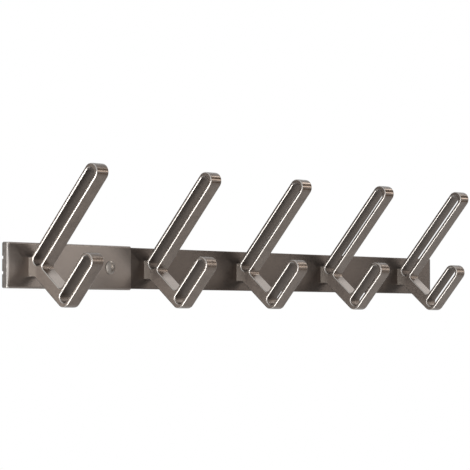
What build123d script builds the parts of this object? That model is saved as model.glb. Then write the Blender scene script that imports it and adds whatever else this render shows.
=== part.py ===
from build123d import *
import os
from math import cos, radians, sin

# Extendable wall rail with five cast double hooks.
# The wall is the plane Y = 0 and the hooks reach out towards -Y.
# X runs along the rail and Z points up.
# The origin lies on the wall, on the rail's centre line, midway between the two wall screws.

# Section of the rail: a flat bar, stiffened along its back by a rib that rests on the wall
rail_height = 25.0
bar_thickness = 2.8
rib_width = 7.0
rail_edge_radius = 0.5

# Section of the sleeve: thin sheet folded round the rail, its lips turned in against the wall
sheet = 0.7
slide_gap = 0.1
lip_opening = 10.6
fold_radius = 1.2
sleeve_length = 103.5

# Hooks along the rail, and the one that rides on the sleeve
hooks_on_rail = 4
hook_pitch = 89.0
hook_width = 10.0
sleeve_hook_margin = 20.8
rail_end_margin = 34.4

# How far the sleeve is drawn out as shown, and what is left between it and the next hook,
# and between the rail's tail and the sleeve's hook screw, once it is pushed home
drawn_out = 11.5
home_gap = 1.3
tail_gap = 2.4

# Profile of one hook, seen from its end: a stem, a sloping long arm, a leg square to it
# and a short arm parallel to the long one
arm_angle = 49.6
arm_width = 10.0
long_arm = 63.2
short_arm = 27.5
leg_span = 30.15
leg_thickness = 7.6
foot_reach = 7.6
foot_rise = 4.0
stem_rise = 5.1
stem_drop = 6.6
crook_radius = 2.2
neck_radius = 0.9
cast_edge_radius = 0.5

# Windows through the arms: the rim that they leave along the sides, at the long arm's tip
# and under the short arm's window, how far the long one reaches below the arm's foot,
# and the angle by which their walls close in from the left face to the right one
rim = 1.8
tip_rim = 2.9
foot_rim = 3.0
window_drop = 1.2
window_draft = 1.5

# Peg that stops a hook from turning, and the screw that holds it
peg_radius = 1.2
peg_drop = 4.0
screw_radius = 1.5
screw_grip = 2.8
screw_head_radius = 2.8
screw_sunk = 0.1
pan_head_radius = 2.8
pan_head_height = 1.6
pan_edge_radius = 0.5
drive_length = 3.0
drive_width = 0.8
drive_depth = 0.7

# Shoulder rivet in the sleeve that runs in the slot of the rail's tail
rivet_margin = 18.4
rivet_head_radius = 4.0
rivet_head_height = 1.5
rivet_land = 0.35
rivet_tenon_radius = 2.0
rivet_shoulder_radius = 2.5
rivet_end_gap = 0.8
tail_bridge = 9.0
tail_chamfer = 0.4

# Wall screws pass through the bar to the right of its first and its third hook
wall_hole_offset = 55.0
wall_hole_radius = 2.25
wall_sink_radius = 4.25
sink_angle = 90

# End caps
cap_thickness = 1.5
cap_edge_radius = 0.6
cap_plug = 6.0
cap_notch_depth = 1.2
cap_pin_radius = 0.8
cap_pin_length = 6.0
cap_pin_inset = 4.5

# Clearance round a pin or a screw in its hole, the room at a blind hole's end,
# and the overrun of every through cut
fit = 0.05
hole_room = 0.3
overrun = 1.0

# Depths from the wall, as places on Y
rib_height = sheet + slide_gap
bar_back = -rib_height
rail_front = bar_back - bar_thickness
sleeve_inside = rail_front - slide_gap
sleeve_front = sleeve_inside - sheet

# A hook's peg is as long as the sheet is thick, so that one casting fits the bar and the sleeve
peg_length = sheet

# Heights of the sleeve's section
sleeve_bore = rail_height + 2 * slide_gap
sleeve_height = sleeve_bore + 2 * sheet

# Places along the rail
rail_hooks = [(i - 1) * hook_pitch - wall_hole_offset for i in range(hooks_on_rail)]
wall_holes = [place + wall_hole_offset for place in rail_hooks[0::2]]
rail_right = rail_hooks[-1] + rail_end_margin
sleeve_right = rail_hooks[0] - hook_width / 2 - home_gap - drawn_out
sleeve_left = sleeve_right - sleeve_length
sleeve_hook = sleeve_left + sleeve_hook_margin
rivet_x = sleeve_right - rivet_margin

# The rail's tail ends short of the sleeve's hook screw. The rivet's slot in it runs from where
# the rivet stands with the sleeve pushed home to the bridge that stops it, 36 mm further out
# than shown.
rail_left = sleeve_hook + drawn_out + pan_head_radius + tail_gap
slot_radius = rivet_shoulder_radius + slide_gap
slot_home = rivet_x + drawn_out
slot_stop = rail_left + tail_bridge + slot_radius

# Directions of a hook's arms and of its leg, in the wall's upright cross plane
arm_run = cos(radians(arm_angle))
arm_climb = sin(radians(arm_angle))


def front(x, y, z):
    """Plane at a point, facing away from the wall."""
    return Plane(origin=(x, y, z), x_dir=(1, 0, 0), z_dir=(0, -1, 0))


def back(x, y, z):
    """Plane at a point, facing the wall."""
    return Plane(origin=(x, y, z), x_dir=(-1, 0, 0), z_dir=(0, 1, 0))


def draw_bar():
    """Flat bar of the rail's section, its long edges eased."""
    with Locations((bar_back - bar_thickness / 2, 0)):
        RectangleRounded(bar_thickness, rail_height, rail_edge_radius)


def draw_rib():
    """Rib of the rail's section, reaching from the bar to the wall."""
    with Locations(((bar_back - bar_thickness / 2) / 2, 0)):
        Rectangle(rib_height + bar_thickness / 2, rib_width)


def draw_drive():
    """Cross that a screwdriver fits."""
    Rectangle(drive_length, drive_width)
    Rectangle(drive_width, drive_length)


def finish(part, name):
    """Name a finished piece and write it out."""
    part.label = name
    export_step(part, f"parts/{name}.step")


def make_hook(x, seat, name):
    """Cast hook whose stem seats on the plane Y = seat, centred on x."""
    foot = Plane(
        origin=(x, seat - foot_reach, foot_rise),
        x_dir=(0, -arm_run, arm_climb),
        z_dir=(1, 0, 0),
    )
    with BuildPart() as hook:
        # Long arm, leg and short arm, drawn along the arms' own slope
        with BuildSketch(foot):
            with Locations((long_arm / 2, 0)):
                SlotCenterToCenter(long_arm, arm_width)
            with Locations((-arm_width / 2, arm_width / 4)):
                Rectangle(arm_width, arm_width / 2)
            with Locations((leg_thickness / 2 - arm_width, leg_span / 2)):
                Rectangle(leg_thickness, leg_span)
            with Locations((short_arm / 2 - arm_width / 2, leg_span)):
                SlotCenterToCenter(short_arm, arm_width)
        extrude(amount=hook_width / 2, both=True)

        # Stem from the seat to the foot of the long arm
        with BuildSketch(Plane.YZ.offset(x)):
            with Locations((seat - foot_reach / 2, (stem_rise - stem_drop) / 2)):
                Rectangle(foot_reach, stem_rise + stem_drop)
        extrude(amount=hook_width / 2, both=True)

        # Inner corners, each found as the edge across the hook that lies nearest to it
        across = hook.edges().filter_by(Axis.X)
        leg_top = leg_thickness - arm_width
        crook = across.sort_by_distance(foot.from_local_coords((leg_top, arm_width / 2)))[0]
        elbow = across.sort_by_distance(foot.from_local_coords((leg_top, leg_span - arm_width / 2)))[0]
        neck = across.sort_by_distance((x, seat - foot_reach + arm_width / 2, stem_rise))[0]
        throat = across.sort_by_distance((x, seat - foot_reach / 2, -stem_drop))[0]
        fillet([crook, elbow], crook_radius)
        fillet([neck, throat], neck_radius)

        # Windows through both arms leave a thin rim all round
        long_window = long_arm + window_drop + rim - tip_rim
        short_window = short_arm + rim - foot_rim
        with BuildSketch(foot.offset(-hook_width / 2)):
            with Locations((long_window / 2 - window_drop, 0)):
                SlotCenterToCenter(long_window, arm_width - 2 * rim)
            with Locations((short_arm - arm_width / 2 - short_window / 2, leg_span)):
                SlotCenterToCenter(short_window, arm_width - 2 * rim)
        extrude(amount=hook_width + overrun, taper=window_draft, mode=Mode.SUBTRACT)

        # Rounded edges round both sides, but not at the seat
        sides = hook.faces().filter_by(Axis.X).sort_by(Axis.X)
        seat_edges = hook.faces().sort_by(Axis.Y)[-1].edges()
        rims = [e for e in sides[0].edges() + sides[-1].edges() if e not in seat_edges]
        fillet(rims, cast_edge_radius)

        # Peg below the screw, and the screw's blind hole
        with BuildSketch(back(x, seat, -peg_drop)):
            Circle(peg_radius)
        extrude(amount=peg_length)
        with Locations(back(x, seat, 0)):
            Hole(screw_radius + fit, depth=screw_grip + hole_room)
    finish(hook.part, name)


def make_sunk_screw(x, name):
    """Countersunk screw from the back of the rail into a hook's stem."""
    top = -screw_sunk
    with BuildPart() as screw:
        with BuildSketch(Plane.XY):
            with BuildLine():
                Polyline(
                    (x, top),
                    (x + screw_head_radius, top),
                    (x + screw_radius, top - screw_head_radius + screw_radius),
                    (x + screw_radius, rail_front - screw_grip),
                    (x, rail_front - screw_grip),
                    close=True,
                )
            make_face()
        revolve(axis=Axis((x, 0, 0), (0, 1, 0)))
        with BuildSketch(back(x, top, 0)):
            draw_drive()
        extrude(amount=-drive_depth, mode=Mode.SUBTRACT)
    finish(screw.part, name)


def make_pan_screw(x, name):
    """Pan head screw from inside the sleeve into its hook's stem."""
    top = sleeve_inside + pan_head_height
    with BuildPart() as screw:
        with BuildSketch(back(x, sleeve_inside, 0)):
            Circle(pan_head_radius)
        extrude(amount=pan_head_height)
        fillet(screw.faces().sort_by(Axis.Y)[-1].edges(), pan_edge_radius)
        with BuildSketch(front(x, sleeve_inside, 0)):
            Circle(screw_radius)
        extrude(amount=sheet + screw_grip)
        with BuildSketch(back(x, top, 0)):
            draw_drive()
        extrude(amount=-drive_depth, mode=Mode.SUBTRACT)
    finish(screw.part, name)


os.makedirs("parts", exist_ok=True)

# Rail: the ribbed bar that is screwed to the wall, with a slotted tail inside the sleeve
with BuildPart() as inner_rail:
    with BuildSketch(Plane.YZ.offset(rail_left)):
        draw_bar()
        draw_rib()
    extrude(amount=rail_right - rail_left)

    # Lead-in along the front of the tail's end
    tail_face = inner_rail.faces().sort_by(Axis.X)[0]
    chamfer(tail_face.edges().sort_by(Axis.Y)[0], tail_chamfer)

    # Slot for the sleeve's rivet
    with BuildSketch(front((slot_home + slot_stop) / 2, rail_front, 0)):
        SlotCenterToCenter(slot_home - slot_stop, 2 * slot_radius)
    extrude(amount=rail_front - overrun, mode=Mode.SUBTRACT)

    # Screw and peg holes of the hooks
    with Locations(*[back(x, 0, 0) for x in rail_hooks]):
        CounterSinkHole(screw_radius + fit, screw_head_radius + screw_sunk + fit, None, sink_angle)
    with Locations(*[front(x, rail_front, -peg_drop) for x in rail_hooks]):
        Hole(peg_radius + fit, depth=peg_length + hole_room)

    # Wall screw holes, sunk from the front
    with Locations(*[front(x, rail_front, 0) for x in wall_holes]):
        CounterSinkHole(wall_hole_radius, wall_sink_radius, None, sink_angle)

    # Holes in the right end for the cap's pins
    pin_y = bar_back - bar_thickness / 2
    pin_z = rail_height / 2 - cap_pin_inset
    with Locations(*[Plane((rail_right, pin_y, z), z_dir=(1, 0, 0)) for z in (-pin_z, pin_z)]):
        Hole(cap_pin_radius + fit, depth=cap_pin_length + hole_room)
finish(inner_rail.part, "inner_rail")

# Sleeve: folded sheet, open along its back between the lips
with BuildPart() as outer_sleeve:
    with BuildSketch(Plane.YZ.offset(sleeve_left)):
        with Locations((sleeve_front / 2, 0)):
            RectangleRounded(-sleeve_front, sleeve_height, fold_radius)
        with Locations(((sleeve_inside - sheet) / 2, 0)):
            RectangleRounded(-sheet - sleeve_inside, sleeve_bore, fold_radius - sheet, mode=Mode.SUBTRACT)
        Rectangle(2 * (sheet + slide_gap), lip_opening, mode=Mode.SUBTRACT)
    extrude(amount=sleeve_length)
    with Locations(front(sleeve_hook, sleeve_front, 0)):
        Hole(screw_radius + fit, depth=sheet + overrun)
    with Locations(front(sleeve_hook, sleeve_front, -peg_drop)):
        Hole(peg_radius + fit, depth=sheet + overrun)
    with Locations(front(rivet_x, sleeve_front, 0)):
        Hole(rivet_tenon_radius + fit, depth=sheet + overrun)
finish(outer_sleeve.part, "outer_sleeve")

# Stop rivet: domed head outside, tenon through the sheet, shoulder in the tail's slot
with BuildPart() as stop_rivet:
    dome_height = rivet_head_height - rivet_land
    dome_radius = (rivet_head_radius**2 + dome_height**2) / (2 * dome_height)
    with BuildSketch(Plane.XY):
        with BuildLine():
            Line((rivet_x, sleeve_front), (rivet_x, sleeve_front - rivet_head_height))
            RadiusArc(
                (rivet_x, sleeve_front - rivet_head_height),
                (rivet_x + rivet_head_radius, sleeve_front - rivet_land),
                -dome_radius,
            )
            Polyline(
                (rivet_x + rivet_head_radius, sleeve_front - rivet_land),
                (rivet_x + rivet_head_radius, sleeve_front),
                (rivet_x, sleeve_front),
            )
        make_face()
    revolve(axis=Axis((rivet_x, 0, 0), (0, 1, 0)))
    with BuildSketch(back(rivet_x, sleeve_front, 0)):
        Circle(rivet_tenon_radius)
    extrude(amount=sheet)
    with BuildSketch(back(rivet_x, sleeve_inside, 0)):
        Circle(rivet_shoulder_radius)
    extrude(amount=-sleeve_inside - rivet_end_gap)
finish(stop_rivet.part, "stop_rivet")

# Left cap: closes the sleeve, notched beside its plug where the lips end
with BuildPart() as end_cap_left:
    with BuildSketch(Plane.YZ.offset(sleeve_left)):
        with Locations((sleeve_front / 2, 0)):
            RectangleRounded(-sleeve_front, sleeve_height, fold_radius)
    extrude(amount=-cap_thickness)
    fillet(end_cap_left.faces().sort_by(Axis.X)[0].edges(), cap_edge_radius)
    notch_width = (lip_opening - rib_width) / 2
    with BuildSketch(Plane.YZ.offset(sleeve_left)):
        with Locations((0, (rib_width + notch_width) / 2), (0, -(rib_width + notch_width) / 2)):
            Rectangle(2 * cap_notch_depth, notch_width)
    extrude(amount=-cap_thickness - overrun, mode=Mode.SUBTRACT)
    with BuildSketch(Plane.YZ.offset(sleeve_left)):
        draw_bar()
        draw_rib()
    extrude(amount=cap_plug)
finish(end_cap_left.part, "end_cap_left")

# Right cap: a plate of the rail's own section on two pins
with BuildPart() as end_cap_right:
    with BuildSketch(Plane.YZ.offset(rail_right)):
        draw_bar()
    extrude(amount=cap_thickness)
    fillet(end_cap_right.faces().sort_by(Axis.X)[-1].edges(), cap_edge_radius)
    with BuildSketch(Plane.YZ.offset(rail_right)):
        draw_rib()
    extrude(amount=cap_thickness - cap_edge_radius)
    with BuildSketch(Plane.YZ.offset(rail_right)):
        with Locations((pin_y, -pin_z), (pin_y, pin_z)):
            Circle(cap_pin_radius)
    extrude(amount=-cap_pin_length)
finish(end_cap_right.part, "end_cap_right")

# Hooks and their screws, numbered from the left
make_hook(sleeve_hook, sleeve_front, "hook_1")
make_pan_screw(sleeve_hook, "hook_screw_1")
for number, place in enumerate(rail_hooks, start=2):
    make_hook(place, rail_front, f"hook_{number}")
    make_sunk_screw(place, f"hook_screw_{number}")
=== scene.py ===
from math import asin, cos, pi, radians, sin, tan

import bpy
import numpy as np
from mathutils import Matrix, Vector
from mathutils.geometry import tessellate_polygon


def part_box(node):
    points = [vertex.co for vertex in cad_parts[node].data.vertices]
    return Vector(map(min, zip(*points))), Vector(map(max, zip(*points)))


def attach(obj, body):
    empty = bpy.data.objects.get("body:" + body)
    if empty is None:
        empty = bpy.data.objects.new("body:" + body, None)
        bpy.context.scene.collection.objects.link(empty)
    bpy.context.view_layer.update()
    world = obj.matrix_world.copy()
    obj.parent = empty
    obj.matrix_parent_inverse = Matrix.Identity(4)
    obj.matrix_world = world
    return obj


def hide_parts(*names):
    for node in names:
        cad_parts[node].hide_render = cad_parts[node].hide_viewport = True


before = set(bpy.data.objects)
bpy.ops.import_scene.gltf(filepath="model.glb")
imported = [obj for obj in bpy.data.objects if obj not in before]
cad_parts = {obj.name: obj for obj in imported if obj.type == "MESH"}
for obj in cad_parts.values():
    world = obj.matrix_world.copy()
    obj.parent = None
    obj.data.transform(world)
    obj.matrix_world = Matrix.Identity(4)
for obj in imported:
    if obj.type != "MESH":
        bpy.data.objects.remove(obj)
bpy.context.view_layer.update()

scene = bpy.context.scene
scene.view_settings.view_transform = "Standard"
mm = 0.001

# The camera stands to the left of the rail and looks along it from a little below its middle, so
# that the near side of every hook and the front of the rail show together.
camera_place = (-1.1666, -0.9147, -0.0318)
camera_turn = radians(50.495)
camera_rise = radians(2.199)
camera_lean = radians(0.022)
camera_lens = 171.06
camera_sensor = 36.0
camera_near = 0.05
camera_far = 30.0

sight = Vector((
    sin(camera_turn) * cos(camera_rise),
    cos(camera_turn) * cos(camera_rise),
    sin(camera_rise),
))
level = Vector((cos(camera_turn), -sin(camera_turn), 0.0))
upright = level.cross(sight)
camera_right = cos(camera_lean) * level + sin(camera_lean) * upright
camera_up = cos(camera_lean) * upright - sin(camera_lean) * level

camera = bpy.data.objects.new("camera", bpy.data.cameras.new("camera"))
camera.data.lens = camera_lens
camera.data.sensor_width = camera_sensor
camera.data.clip_start = camera_near
camera.data.clip_end = camera_far
camera_axes = Matrix((camera_right, camera_up, -sight)).transposed()
camera.matrix_world = Matrix.Translation(camera_place) @ camera_axes.to_4x4()
scene.collection.objects.link(camera)
scene.camera = camera


# The rail is a drawn aluminium bar with a rib along its back, coated in satin gunmetal. The coat
# follows the fine lengthwise lines that drawing leaves, and it is a little uneven in tone.
# The bar's tones are set darker than the coat's own, as painted shade for the dark reflections
# along the rail.
bar_shaded_tone = (0.094, 0.079, 0.070)
bar_shaded_deep_tone = (0.085, 0.071, 0.063)
bar_roughness = 0.42
drawn_stretch = 4.0
drawn_grain = 900.0
drawn_relief = 0.02
unevenness = 38.0
gloss_swing = 0.05
grain_height = 0.05 * mm

# Places of a colour mix's two tones among its sockets, and of the mixed tone among its outputs
first_tone, second_tone, mixed_tone = 6, 7, 2


def node(tree, kind, **inputs):
    """Add a shader node and set its named inputs to plain values."""
    made = tree.nodes.new(kind)
    for name, value in inputs.items():
        made.inputs[name].default_value = value
    return made


def wire(tree, source, output, target, socket):
    """Join one node's output to another node's input."""
    tree.links.new(source.outputs[output], target.inputs[socket])


def ramp(tree, source, output, low, high, value_low, value_high):
    """Turn an output that runs from low to high into a value between two others, in proportion."""
    made = node(tree, "ShaderNodeMapRange", **{
        "From Min": low, "From Max": high, "To Min": value_low, "To Max": value_high,
    })
    wire(tree, source, output, made, "Value")
    return made


def blend_tones(tree, tone, other, factor, output):
    """Mix two colours by a factor that comes from another node."""
    made = tree.nodes.new("ShaderNodeMix")
    made.data_type = "RGBA"
    made.inputs[first_tone].default_value = (*tone, 1.0)
    made.inputs[second_tone].default_value = (*other, 1.0)
    wire(tree, factor, output, made, 0)
    return made


def satin_metal(name, tone, deep_tone, roughness, stretch, grain, lift):
    """Satin plated metal: a broad unevenness of tone, and a grain in gloss and height.

    The grain is noise of so many marks per metre, drawn out along X by the stretch. Its height is
    the lift's share of the grain's full height.
    """
    made = bpy.data.materials.new(name)
    made.use_nodes = True
    tree = made.node_tree
    shader = tree.nodes["Principled BSDF"]
    shader.inputs["Metallic"].default_value = 1.0
    place = tree.nodes.new("ShaderNodeTexCoord")

    clouds = node(tree, "ShaderNodeTexNoise", Scale=unevenness, Detail=3.0, Roughness=0.55)
    wire(tree, place, "Object", clouds, "Vector")
    uneven = ramp(tree, clouds, "Fac", 0.35, 0.65, 0.0, 1.0)
    tones = blend_tones(tree, tone, deep_tone, uneven, "Result")
    wire(tree, tones, mixed_tone, shader, "Base Color")

    drawn = node(tree, "ShaderNodeMapping", Scale=(1.0 / stretch, 1.0, 1.0))
    wire(tree, place, "Object", drawn, "Vector")
    lines = node(tree, "ShaderNodeTexNoise", Scale=grain, Detail=2.0, Roughness=0.6)
    wire(tree, drawn, "Vector", lines, "Vector")
    gloss = ramp(tree, lines, "Fac", 0.3, 0.7, roughness - gloss_swing, roughness + gloss_swing)
    wire(tree, gloss, "Result", shader, "Roughness")
    relief = node(tree, "ShaderNodeBump", Strength=lift, Distance=grain_height)
    wire(tree, lines, "Fac", relief, "Height")
    wire(tree, relief, "Normal", shader, "Normal")
    return made


def dress(part, material):
    """Give a piece one material, in place of any it came with."""
    part.data.materials.clear()
    part.data.materials.append(material)


bar_coat = satin_metal("gunmetal bar coat", bar_shaded_tone, bar_shaded_deep_tone, bar_roughness,
                       drawn_stretch, drawn_grain, drawn_relief)
dress(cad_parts["inner_rail"], bar_coat)


# The sleeve is thin steel sheet folded round the bar, with the same coat, which on the bar is set
# darker as painted shade. It slides on the bar and carries the first hook.
sheet_tone = (0.200, 0.176, 0.160)
sheet_deep_tone = (0.182, 0.160, 0.146)
sheet_roughness = 0.36

sheet_coat = satin_metal("gunmetal sheet coat", sheet_tone, sheet_deep_tone, sheet_roughness,
                         drawn_stretch, drawn_grain, drawn_relief)
dress(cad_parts["outer_sleeve"], sheet_coat)


# The stop rivet's domed head is coated with the sleeve. It is closed through the sheet, and its
# shoulder runs in the slot of the bar's tail.
rivet_tone = (0.23, 0.21, 0.19)
rivet_deep_tone = (0.20, 0.18, 0.165)
rivet_roughness = 0.34
rivet_stretch = 1.0
rivet_grain = 900.0
rivet_relief = 0.05

rivet_coat = satin_metal("gunmetal rivet coat", rivet_tone, rivet_deep_tone, rivet_roughness,
                         rivet_stretch, rivet_grain, rivet_relief)
dress(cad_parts["stop_rivet"], rivet_coat)


# The end caps are moulded in plastic with the rail's satin coat, matt on the end. The left one's
# wall is painted bright as a highlight, and the right one's has the coat's dark tone. The left cap
# plugs the sleeve and the right one sits on two pins.
cap_end_tone = (0.138, 0.125, 0.115)
cap_end_deep_tone = (0.104, 0.094, 0.087)
cap_wall_tones_with_highlight = {"end_cap_left": (0.42, 0.40, 0.38), "end_cap_right": (0.10, 0.09, 0.085)}
cap_end_roughness = 0.5
cap_wall_roughness = 0.25
cap_end_metal = 0.65
cap_band = 0.2 * mm
cap_blots = 500.0
cap_grain = 600.0
cap_relief = 0.1


def coated_plastic(name, wall_tone, end, inner):
    """Coated plastic, matt at x = end, that passes to its wall's gloss and tone by x = inner.

    The end is blotched with noise between two tones, and all of it has a fine moulded grain.
    """
    made = bpy.data.materials.new(name)
    made.use_nodes = True
    tree = made.node_tree
    shader = tree.nodes["Principled BSDF"]
    place = tree.nodes.new("ShaderNodeTexCoord")
    split = tree.nodes.new("ShaderNodeSeparateXYZ")
    wire(tree, place, "Object", split, "Vector")
    on_end = ramp(tree, split, "X", end, inner, 1.0, 0.0)
    blots = node(tree, "ShaderNodeTexNoise", Scale=cap_blots, Detail=3.0, Roughness=0.6)
    wire(tree, place, "Object", blots, "Vector")
    uneven = ramp(tree, blots, "Fac", 0.4, 0.6, 0.0, 1.0)
    end_tones = blend_tones(tree, cap_end_tone, cap_end_deep_tone, uneven, "Result")
    tones = blend_tones(tree, wall_tone, cap_end_tone, on_end, "Result")
    wire(tree, end_tones, mixed_tone, tones, second_tone)
    wire(tree, tones, mixed_tone, shader, "Base Color")
    metal = ramp(tree, on_end, "Result", 0.0, 1.0, 1.0, cap_end_metal)
    wire(tree, metal, "Result", shader, "Metallic")
    gloss = ramp(tree, on_end, "Result", 0.0, 1.0, cap_wall_roughness, cap_end_roughness)
    wire(tree, gloss, "Result", shader, "Roughness")
    grain = node(tree, "ShaderNodeTexNoise", Scale=cap_grain, Detail=2.0, Roughness=0.5)
    wire(tree, place, "Object", grain, "Vector")
    relief = node(tree, "ShaderNodeBump", Strength=cap_relief, Distance=grain_height)
    wire(tree, grain, "Fac", relief, "Height")
    wire(tree, relief, "Normal", shader, "Normal")
    return made


for cap, side in (("end_cap_left", 0), ("end_cap_right", 1)):
    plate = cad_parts[cap]
    end = (plate.matrix_world.inverted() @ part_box(cap)[side]).x
    inner = end + (cap_band, -cap_band)[side]
    dress(plate, coated_plastic(f"{cap} coat", cap_wall_tones_with_highlight[cap], end, inner))


# Each hook is one zinc casting: a stem, a sloping long arm, a leg square to it and a short arm
# parallel to the long one, with a window through each arm. It is tumbled and plated in gunmetal.
# Its rounded edges are painted bright, partly burnished wear and partly a painted highlight; its
# windows are duller and painted darker as shade; the leg's top and the stem's side are painted
# lighter as painted light. A screw from behind holds it.
hook_width = 10.0 * mm
arm_angle = radians(49.6)
arm_width = 10.0 * mm
long_arm = 63.2 * mm
short_arm = 27.5 * mm
leg_span = 30.15 * mm
leg_thickness = 7.6 * mm
foot_reach = 7.6 * mm
foot_rise = 4.0 * mm
stem_rise = 5.1 * mm
stem_drop = 6.6 * mm
crook_radius = 2.2 * mm
neck_radius = 0.9 * mm
rim = 1.8 * mm
tip_rim = 2.9 * mm
foot_rim = 3.0 * mm
window_drop = 1.2 * mm
window_draft = radians(3.0)
cast_edge = 0.6 * mm
skin_room = 0.003 * mm
peg_radius = 1.2 * mm
peg_length = 0.7 * mm
peg_drop = 4.0 * mm
bore_radius = 1.55 * mm
bore_depth = 3.1 * mm

arm_run = cos(arm_angle)
arm_climb = sin(arm_angle)
half_width = hook_width / 2
half_arm = arm_width / 2
leg_top = leg_thickness - arm_width
half_window = half_arm - rim

arc_step = radians(5.0)
side_step = 2.0 * mm
edge_steps = 6
wall_steps = 4
ring_steps = 32
side_power = 8
leg_light_power = 4
leg_light_growth = 4.0
leg_light_start = 0.7

casting_tone = (0.160, 0.133, 0.115)
casting_deep_tone = (0.119, 0.098, 0.085)
# Rounded edges: burnished wear and a painted highlight.
casting_edge_wear_highlight_tone = (0.42, 0.40, 0.38)
# Window walls: painted shade.
casting_window_shade_tone = (0.136, 0.114, 0.100)
# Leg's top: painted light where light falls on it.
casting_leg_top_light_tone = (0.366, 0.322, 0.291)
# Stem's side: painted light from the lamp at the left.
casting_stem_light_tone = (0.33, 0.29, 0.255)
casting_roughness = 0.30
casting_tip_polish = 0.10
casting_window_dullness = 0.20
casting_side_roughness = 0.52
casting_side_metal = 0.72
casting_edge_roughness = 0.17
casting_gloss_swing = 0.04
casting_clouds = 110.0
casting_grain = 700.0
casting_relief = 0.06
casting_grain_height = 0.04 * mm
stem_band = 4.0 * mm
polish_from = 22.0 * mm
polish_to = 38.0 * mm


def on_hook(along, across):
    """Reach from the seat and height of a point so far along the arms and so far across them.

    Reach and height are the long arm's foot plus the distance along turned up by the arms' slope,
    plus the distance across turned down from it by a right angle.
    """
    return (foot_reach + along * arm_run + across * arm_climb,
            foot_rise + along * arm_climb - across * arm_run)


def rounded_path(corners, radii, closed):
    """Points of a path through corners that are turned on arcs, and its outward directions.

    An arc starts before its corner by its radius times the tangent of half the turn. Its points
    are that start turned about the arc's centre in equal steps. The material is on the path's
    left, so outward is the heading turned right by a right angle.
    """
    corner = np.array(corners)
    leg_in = corner - np.roll(corner, 1, axis=0)
    leg_out = np.roll(corner, -1, axis=0) - corner
    if not closed:
        leg_in[0] = leg_out[0]
        leg_out[-1] = leg_in[-1]
    heading = np.arctan2(leg_in[:, 1], leg_in[:, 0])
    turn = (np.arctan2(leg_out[:, 1], leg_out[:, 0]) - heading + pi) % (2 * pi) - pi
    radius = np.array(radii)
    ahead = np.stack([np.cos(heading), np.sin(heading)], axis=1)
    start = corner - ahead * (radius * np.tan(np.abs(turn) / 2))[:, None]
    inner = np.stack([-ahead[:, 1], ahead[:, 0]], axis=1) * (np.sign(turn) * radius)[:, None]
    places, headings = [], []
    for i, angle in enumerate(turn):
        steps = int(np.ceil(abs(angle) / arc_step)) if radius[i] else 0
        swing = np.linspace(0.0, angle, steps + 1)[:, None]
        centre = start[i] + inner[i]
        sideways = np.array([inner[i, 1], -inner[i, 0]])
        places.append(centre - inner[i] * np.cos(swing) + sideways * np.sin(swing))
        headings.append(heading[i] + swing[:, 0])
    heading = np.concatenate(headings)
    return np.concatenate(places), np.stack([np.sin(heading), -np.cos(heading)], axis=1)


def with_steps(places, outwards, closed):
    """The same path with points added on its straight runs, no further apart than a side step."""
    if closed:
        places = np.concatenate([places, places[:1]])
        outwards = np.concatenate([outwards, outwards[:1]])
    reached = np.concatenate([[0.0], np.cumsum(np.linalg.norm(np.diff(places, axis=0), axis=1))])
    runs = [np.linspace(a, b, int(np.ceil((b - a) / side_step)), endpoint=False)
            for a, b in zip(reached[:-1], reached[1:]) if b > a]
    at = np.concatenate(runs if closed else runs + [reached[-1:]])
    point = np.stack([np.interp(at, reached, places[:, k]) for k in (0, 1)], axis=1)
    outward = np.stack([np.interp(at, reached, outwards[:, k]) for k in (0, 1)], axis=1)
    return point, outward / np.linalg.norm(outward, axis=1)[:, None]


def hook_outline():
    """Outer path of the profile, from the seat's lower end round both arms to its upper end.

    The long arm's foot is round behind, so above the neck the path turns on that round until it
    meets the neck's arc, which touches both the round and the stem's top.
    """
    throat_across = (foot_rise - arm_width * arm_climb + stem_drop) / arm_run
    neck_lean = asin((stem_rise + neck_radius - foot_rise) / (half_arm + neck_radius))
    foot_turn = pi / 2 - neck_lean - arm_angle
    neck_reach = (foot_reach - (half_arm + neck_radius) * cos(neck_lean)
                  + neck_radius * tan((pi / 2 - neck_lean) / 2))
    corners = [
        ((0.0, -stem_drop), 0.0),
        (on_hook(-arm_width, throat_across), neck_radius),
        (on_hook(-arm_width, leg_span + half_arm), half_arm),
        (on_hook(short_arm, leg_span + half_arm), half_arm),
        (on_hook(short_arm, leg_span - half_arm), half_arm),
        (on_hook(leg_top, leg_span - half_arm), crook_radius),
        (on_hook(leg_top, half_arm), crook_radius),
        (on_hook(long_arm + half_arm, half_arm), half_arm),
        (on_hook(long_arm + half_arm, -half_arm), half_arm),
        (on_hook(-half_arm * tan(foot_turn / 2), -half_arm), half_arm),
        ((neck_reach, stem_rise), neck_radius),
        ((0.0, stem_rise), 0.0),
    ]
    return with_steps(*rounded_path(*zip(*corners), False), False)


def window_outline(low, high, across):
    """Path round a window whose end arcs are centred at two places along an arm."""
    corners = [
        on_hook(low - half_window, across - half_window),
        on_hook(high + half_window, across - half_window),
        on_hook(high + half_window, across + half_window),
        on_hook(low - half_window, across + half_window),
    ]
    return with_steps(*rounded_path(corners, [half_window] * 4, True), True)


def grid_quads(rows, columns, first, closed):
    """Corner numbers of the quads of a grid that is numbered row by row, joined up when closed."""
    row = np.arange(rows if closed else rows - 1)[:, None]
    column = np.arange(columns - 1)[None, :]
    here = first + row * columns + column
    after = first + (row + 1) % rows * columns + column
    return np.stack([here, here + 1, after + 1, after], axis=-1).reshape(-1, 4)


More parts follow.
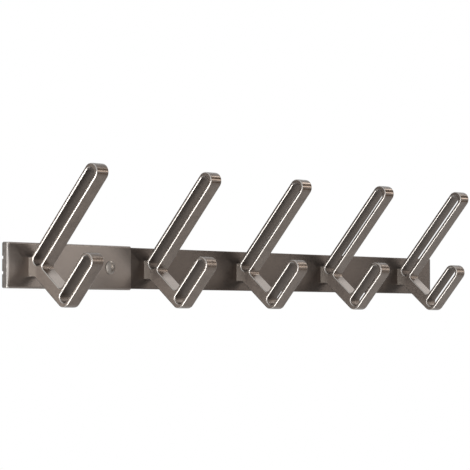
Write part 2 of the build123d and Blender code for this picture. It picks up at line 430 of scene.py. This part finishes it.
def carried_wall(path, first, closed):
    """Wall with two rounded edges, carried along a path of the profile.

    Across the casting the section goes from one flat side to the other. On an edge it lies one
    minus the sine of its turn, times the edge's radius, inside the path, and one minus the cosine
    away from the flat side. Its normal is the path's outward direction times that sine, and the
    direction across the casting times that cosine. An edge's shine, its share of wear and painted
    highlight, is the sine of twice its turn.
    A window also closes in by the tangent of its draft times the distance from the left side. All
    of the wall lies the skin's room further in, so that it stays within the solid's box.

    The share of flat side is the cosine's eighth power. The share of painted light on the leg's top
    grows in a straight line from nothing past the crook to one before halfway, times the sine's
    fourth power, and it is nothing on walls that don't face up along the arms.
    """
    place, outward = path
    along = (place[:, 0] - foot_reach) * arm_run + (place[:, 1] - foot_rise) * arm_climb
    upward = outward[:, 0] * arm_run + outward[:, 1] * arm_climb
    away = (place[:, 0] - foot_reach) * arm_climb - (place[:, 1] - foot_rise) * arm_run
    faces_up = np.clip(leg_light_growth * (upward - 1.0) + 1.0, 0.0, 1.0)
    leg_top_light = (along < 0.0) * faces_up * np.clip(leg_light_growth * away / leg_span - leg_light_start, 0.0, 1.0)
    turn = np.linspace(0.0, pi / 2, edge_steps + 1)
    wall = np.linspace(cast_edge - half_width, half_width - cast_edge, wall_steps + 1)[1:-1]
    flat = np.zeros(len(wall))
    near = cast_edge * (1 - np.cos(turn)) - half_width
    inset = cast_edge * (1 - np.sin(turn))
    across = np.concatenate([near, wall, -near[::-1]])
    draft = closed * tan(window_draft)
    inset = np.concatenate([inset, flat, inset[::-1]]) - draft * (across + half_width) + skin_room
    out = np.concatenate([np.sin(turn), flat + 1, np.sin(turn[::-1])])
    side = np.concatenate([-np.cos(turn), flat, np.cos(turn[::-1])])
    spot = place[:, None, :] - outward[:, None, :] * inset[None, :, None]
    across = np.broadcast_to(across, spot.shape[:2])
    out = np.broadcast_to(out, spot.shape[:2])
    side = np.broadcast_to(side, spot.shape[:2])
    points = np.stack([across, -spot[..., 0], spot[..., 1]], axis=-1)
    lean = outward[:, None, :] * out[..., None]
    normals = np.stack([side - draft * out, -lean[..., 0], lean[..., 1]], axis=-1)
    shares = np.stack([
        np.abs(2 * out * side),
        closed * (1 - np.abs(side)),
        np.abs(side) ** side_power,
        leg_top_light[:, None] * out ** leg_light_power,
    ], axis=-1)
    return points, normals, shares, grid_quads(len(place), spot.shape[1], first, closed)


def filled(loops, numbers, facing):
    """Triangles that fill the flat face inside the first loop and outside the others.

    A triangle is turned round where its area has the other sign than the facing asks.
    """
    flat = np.concatenate(loops)
    number = np.concatenate(numbers)
    triangle = np.array(tessellate_polygon([[Vector((*p, 0.0)) for p in loop] for loop in loops]))
    one, two, three = (flat[triangle[:, k]] for k in range(3))
    area = ((two - one)[:, 0] * (three - one)[:, 1] - (two - one)[:, 1] * (three - one)[:, 0])
    triangle[area * facing < 0] = triangle[area * facing < 0][:, ::-1]
    return number[triangle]


def ring_spokes():
    """Directions square to the seat's normal: cosine across and sine up, in equal steps."""
    angle = np.linspace(0.0, 2 * pi, ring_steps, endpoint=False)
    return np.stack([np.cos(angle), 0.0 * angle, np.sin(angle)], axis=1)


def make_casting():
    """One hook with its seat at the origin, as points, their four shares, faces and normals.

    Three walls are carried round the outline and the two windows. The flat sides fill between
    their rims, and the seat fills round the screw's bore and the peg, which are rings drawn in
    from the seat or out of it and closed by a fan about their middle.
    """
    points, shares, faces, corners, rims, count = [], [], [], [], [], 0
    paths = [
        (hook_outline(), False),
        (window_outline(-window_drop, long_arm + rim - tip_rim, 0.0), True),
        (window_outline(foot_rim - rim - half_arm, short_arm - half_arm, leg_span), True),
    ]
    for path, closed in paths:
        point, normal, share, quads = carried_wall(path, count, closed)
        number = count + np.arange(normal[..., 0].size).reshape(normal.shape[:2])
        points.append(point.reshape(-1, 3))
        shares.append(share.reshape(-1, 4))
        faces.append(quads)
        corners.append(normal.reshape(-1, 3)[quads - count].reshape(-1, 3))
        rims.append(number[:, [0, -1]])
        if not closed:
            seat_rim = np.concatenate([number[0], number[-1, ::-1]])
        count += number.size
    place = np.concatenate(points)
    for end, facing in ((0, 1.0), (1, -1.0)):
        edges = [pair[:, end] for pair in rims]
        triangles = filled([place[edge][:, 1:] * (-1.0, 1.0) for edge in edges], edges, facing)
        faces.append(triangles)
        corners.append(np.tile((-facing, 0.0, 0.0), (triangles.size, 1)))
    seat_rims = [seat_rim]
    spoke = ring_spokes()
    bore = (bore_radius, 0.0, bore_depth)
    peg = (peg_radius, -peg_drop, -peg_length)
    for radius, height, depth in (bore, peg):
        levels = np.array([[0.0, 0.0, height], [0.0, -depth, height]])
        rings = radius * spoke[:, None] + levels
        number = count + np.arange(2 * ring_steps).reshape(-1, 2)
        quads = grid_quads(ring_steps, 2, count, True)
        middle = np.full(ring_steps, count + 2 * ring_steps)
        fan = np.stack([number[:, 1], middle, np.roll(number[:, 1], -1)], axis=1)
        points += [rings.reshape(-1, 3), np.array([[0.0, -depth, height]])]
        shares.append(np.zeros((2 * ring_steps + 1, 4)))
        faces += [quads, fan]
        corners.append(-np.sign(depth) * spoke[(quads - count) // 2].reshape(-1, 3))
        corners.append(np.tile((0.0, 1.0, 0.0), (fan.size, 1)))
        seat_rims.append(number[:, 0])
        count += 2 * ring_steps + 1
    place = np.concatenate(points)
    triangles = filled([place[edge][:, [2, 0]] for edge in seat_rims], seat_rims, 1.0)
    faces.append(triangles)
    corners.append(np.tile((0.0, 1.0, 0.0), (triangles.size, 1)))
    return place, np.concatenate(shares), faces, np.concatenate(corners)


def casting_share(tree, name):
    """Node that gives one of the shares that the castings' points carry."""
    made = tree.nodes.new("ShaderNodeAttribute")
    made.attribute_name = name
    return made


def cast_metal():
    """Satin plate on a casting, with its tone and gloss blended by the points' shares.

    Rounded edges are brightened and smoother, partly burnished wear and partly a painted highlight.
    Windows are duller and painted darker as shade. The leg's top and the stem's side are painted
    lighter as painted light, the flat sides are more matt, and both arms are smoother towards their
    tips.
    """
    made = bpy.data.materials.new("gunmetal plated casting")
    made.use_nodes = True
    tree = made.node_tree
    shader = tree.nodes["Principled BSDF"]
    place = tree.nodes.new("ShaderNodeTexCoord")
    split = tree.nodes.new("ShaderNodeSeparateXYZ")
    wire(tree, place, "Object", split, "Vector")
    shine, inside, flat, leg_top_light = (casting_share(tree, name) for name in share_names)

    clouds = node(tree, "ShaderNodeTexNoise", Scale=casting_clouds, Detail=5.0, Roughness=0.8)
    wire(tree, place, "Object", clouds, "Vector")
    uneven = ramp(tree, clouds, "Fac", 0.35, 0.65, 0.0, 1.0)
    near_seat = ramp(tree, split, "Y", -foot_reach - stem_band, -foot_reach / 2, 0.0, 1.0)
    stem_light = tree.nodes.new("ShaderNodeMath")
    stem_light.operation = "MULTIPLY"
    wire(tree, near_seat, "Result", stem_light, 0)
    wire(tree, flat, "Fac", stem_light, 1)
    worn_and_highlight = ramp(tree, shine, "Fac", 0.2, 0.9, 0.0, 1.0)
    tones = blend_tones(tree, casting_tone, casting_deep_tone, uneven, "Result")
    for tone, factor, output in (
        (casting_window_shade_tone, inside, "Fac"),
        (casting_leg_top_light_tone, leg_top_light, "Fac"),
        (casting_stem_light_tone, stem_light, "Value"),
        (casting_edge_wear_highlight_tone, worn_and_highlight, "Result"),
    ):
        over = blend_tones(tree, casting_tone, tone, factor, output)
        wire(tree, tones, mixed_tone, over, first_tone)
        tones = over
    wire(tree, tones, mixed_tone, shader, "Base Color")

    skin = node(tree, "ShaderNodeTexNoise", Scale=casting_grain, Detail=3.0, Roughness=0.6)
    wire(tree, place, "Object", skin, "Vector")
    plated = ramp(tree, flat, "Fac", 0.0, 1.0, 1.0, casting_side_metal)
    wire(tree, plated, "Result", shader, "Metallic")
    rough = ramp(tree, skin, "Fac", 0.3, 0.7,
                 casting_roughness - casting_gloss_swing, casting_roughness + casting_gloss_swing)
    matt = ramp(tree, flat, "Fac", 0.0, 1.0, 0.0, casting_side_roughness - casting_roughness)
    polish = ramp(tree, split, "Z", polish_from, polish_to, 0.0, -casting_tip_polish)
    dullness = ramp(tree, inside, "Fac", 0.0, 1.0, 0.0, casting_window_dullness)
    for change in (matt, polish, dullness):
        total = tree.nodes.new("ShaderNodeMath")
        wire(tree, rough, 0, total, 0)
        wire(tree, change, "Result", total, 1)
        rough = total
    edged = tree.nodes.new("ShaderNodeMix")
    edged.inputs["B"].default_value = casting_edge_roughness
    wire(tree, worn_and_highlight, "Result", edged, "Factor")
    wire(tree, rough, 0, edged, "A")
    wire(tree, edged, "Result", shader, "Roughness")
    relief = node(tree, "ShaderNodeBump", Strength=casting_relief, Distance=casting_grain_height)
    wire(tree, skin, "Fac", relief, "Height")
    wire(tree, relief, "Normal", shader, "Normal")
    return made


# The four shares that a point carries, in their order in the array
share_names = ("edge_shine", "in_window", "flat_side", "leg_top_light")
hook_numbers = range(1, 6)
casting_place, casting_shares, casting_faces, casting_corners = make_casting()
casting_lists = [face for group in casting_faces for face in group.tolist()]
casting_coat = cast_metal()
for number in hook_numbers:
    box_low, box_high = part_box(f"hook_{number}")
    seat = np.array([(box_low[0] + box_high[0]) / 2, box_high[1] - peg_length, 0.0])
    mesh = bpy.data.meshes.new(f"cast_hook_{number}")
    mesh.from_pydata(casting_place + seat, [], casting_lists)
    mesh.polygons.foreach_set("use_smooth", np.ones(len(mesh.polygons), bool))
    for column, share in enumerate(share_names):
        layer = mesh.attributes.new(share, "FLOAT", "POINT")
        layer.data.foreach_set("value", casting_shares[:, column].astype(np.float32))
    mesh.normals_split_custom_set(casting_corners)
    mesh.update()
    hook = bpy.data.objects.new(f"cast_hook_{number}", mesh)
    scene.collection.objects.link(hook)
    hook.data.materials.append(casting_coat)
    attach(hook, "sleeve" if number == 1 else "rail")
    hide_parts(f"hook_{number}")


# Each hook's screw is zinc plated steel. The sleeve's has a pan head against the inside of the
# sheet, and the bar's are sunk into its back.
screw_tone = (0.50, 0.50, 0.49)
screw_deep_tone = (0.40, 0.40, 0.40)
screw_roughness = 0.32
screw_stretch = 1.0
screw_grain = 2500.0
screw_relief = 0.15

screw_plate = satin_metal("zinc plate on screws", screw_tone, screw_deep_tone, screw_roughness,
                          screw_stretch, screw_grain, screw_relief)
for number in hook_numbers:
    dress(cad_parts[f"hook_screw_{number}"], screw_plate)


# Studio: a pale floor well below, an even white surround, and soft lamps at a plain level. Two
# dark cards and two brown ones stand where the metal reflects them, and the camera doesn't show
# them. The floor and the surround look white to the camera and in the metal's reflections.
floor_height = -1.7
floor_half = 4.0
floor_tone = (0.90, 0.90, 0.89)
floor_lift = 0.42
surround_light = 0.5
panel_roughness = 0.9
card_tone = (0.02, 0.02, 0.02)
brown_tone = (0.75, 0.56, 0.40)


def looked_at(tree):
    """One for rays that look from the camera or by way of gloss or glass, and nothing for others.

    It is the largest of the three kinds' shares.
    """
    path = tree.nodes.new("ShaderNodeLightPath")
    seen, output = path, "Is Camera Ray"
    for kind in ("Is Glossy Ray", "Is Transmission Ray"):
        larger = tree.nodes.new("ShaderNodeMath")
        larger.operation = "MAXIMUM"
        wire(tree, seen, output, larger, 0)
        wire(tree, path, kind, larger, 1)
        seen, output = larger, "Value"
    return seen


world = bpy.data.worlds.new("white surround")
scene.world = world
world.use_nodes = True
tree = world.node_tree
backdrop = tree.nodes["Background"]
backdrop.inputs["Color"].default_value = (1.0, 1.0, 1.0, 1.0)
level_of_white = ramp(tree, looked_at(tree), "Value", 0.0, 1.0, surround_light, 1.0)
wire(tree, level_of_white, "Result", backdrop, "Strength")


def flat_panel(name, corners, tone):
    """Flat staged panel through four corners, of one matt tone."""
    mesh = bpy.data.meshes.new(name)
    mesh.from_pydata(corners, [], [(0, 1, 2, 3)])
    made = bpy.data.materials.new(name)
    made.use_nodes = True
    shader = made.node_tree.nodes["Principled BSDF"]
    shader.inputs["Base Color"].default_value = (*tone, 1.0)
    shader.inputs["Roughness"].default_value = panel_roughness
    mesh.materials.append(made)
    panel = bpy.data.objects.new(name, mesh)
    scene.collection.objects.link(panel)
    return panel


floor_corners = [
    (-floor_half, -floor_half, floor_height),
    (floor_half, -floor_half, floor_height),
    (floor_half, floor_half, floor_height),
    (-floor_half, floor_half, floor_height),
]
pale_floor = flat_panel("pale_floor", floor_corners, floor_tone)
tree = pale_floor.data.materials[0].node_tree
glow = tree.nodes["Principled BSDF"]
glow.inputs["Emission Color"].default_value = (1.0, 1.0, 1.0, 1.0)
lift = ramp(tree, looked_at(tree), "Value", 0.0, 1.0, 0.0, floor_lift)
wire(tree, lift, "Result", glow, "Emission Strength")

# name, tone, corners
cards = [
    ("card_behind", card_tone,
     [(-3.4, 1.5, -0.9), (2.7, 1.5, -0.9), (2.7, 1.5, 1.1), (-3.4, 1.5, 1.1)]),
    ("card_below", card_tone,
     [(0.25, -1.2, -1.55), (0.85, -1.2, -1.55), (0.85, -0.4, -1.55), (0.25, -0.4, -1.55)]),
    ("card_gap", brown_tone,
     [(1.25, -1.6, 0.69), (2.1, -1.0, 0.69), (2.1, -0.55, 1.15), (1.3, -1.05, 1.15)]),
    ("card_under", brown_tone,
     [(1.2, -1.75, -0.70), (2.2, -0.95, -0.70), (2.2, -0.95, -0.30), (1.2, -1.75, -0.30)]),
]
for name, tone, corners in cards:
    flat_panel(name, corners, tone).visible_camera = False


def soft_lamp(name, place, aim, width, height, radiance, tone):
    """Rectangular lamp at a place, facing its aim, whose face is so many times white."""
    data = bpy.data.lights.new(name, "AREA")
    data.shape = "RECTANGLE"
    data.size = width
    data.size_y = height
    data.energy = radiance * pi * width * height
    data.color = tone
    lamp = bpy.data.objects.new(name, data)
    toward = (Vector(aim) - Vector(place)).normalized()
    turned = toward.to_track_quat("-Z", "Y").to_matrix().to_4x4()
    lamp.matrix_world = Matrix.Translation(place) @ turned
    lamp.visible_camera = False
    scene.collection.objects.link(lamp)
    return lamp


# name, place, aim, width, height, radiance, tone
lamps = [
    ("lamp_left", (-0.78, -0.03, -0.11), (-0.1, -0.02, 0.0), 0.36, 0.27, 15.5, (1.0, 0.98, 0.96)),
    ("lamp_below", (-0.75, -0.85, -1.45), (-0.75, -0.85, 0.0), 1.1, 0.7, 6.5, (1.0, 0.99, 0.97)),
    ("lamp_above", (-0.3, -0.1, 1.5), (-0.3, -0.1, 0.0), 1.2, 1.2, 3.0, (1.0, 1.0, 1.0)),
    ("lamp_front", (-0.55, -1.5, -0.25), (-0.1, -0.02, -0.25), 0.3, 2.0, 3.2, (1.0, 0.99, 0.98)),
    ("lamp_over_floor", (2.1, -0.4, -0.3), (2.1, -0.4, -1.7), 1.0, 1.0, 0.5, (1.0, 1.0, 1.0)),
    ("lamp_strip_high", (1.69, -0.60, 1.31), (0.0, 0.0, 0.0), 0.7, 0.22, 5.2, (1.0, 0.94, 0.87)),
    ("lamp_strip_low", (1.69, -1.34, 0.40), (0.0, 0.0, 0.0), 1.2, 0.26, 4.4, (1.0, 0.90, 0.80)),
]
lit = {row[0]: soft_lamp(*row) for row in lamps}
lit["lamp_below"].visible_diffuse = False
lit["lamp_above"].visible_glossy = False
lit["lamp_over_floor"].visible_glossy = False
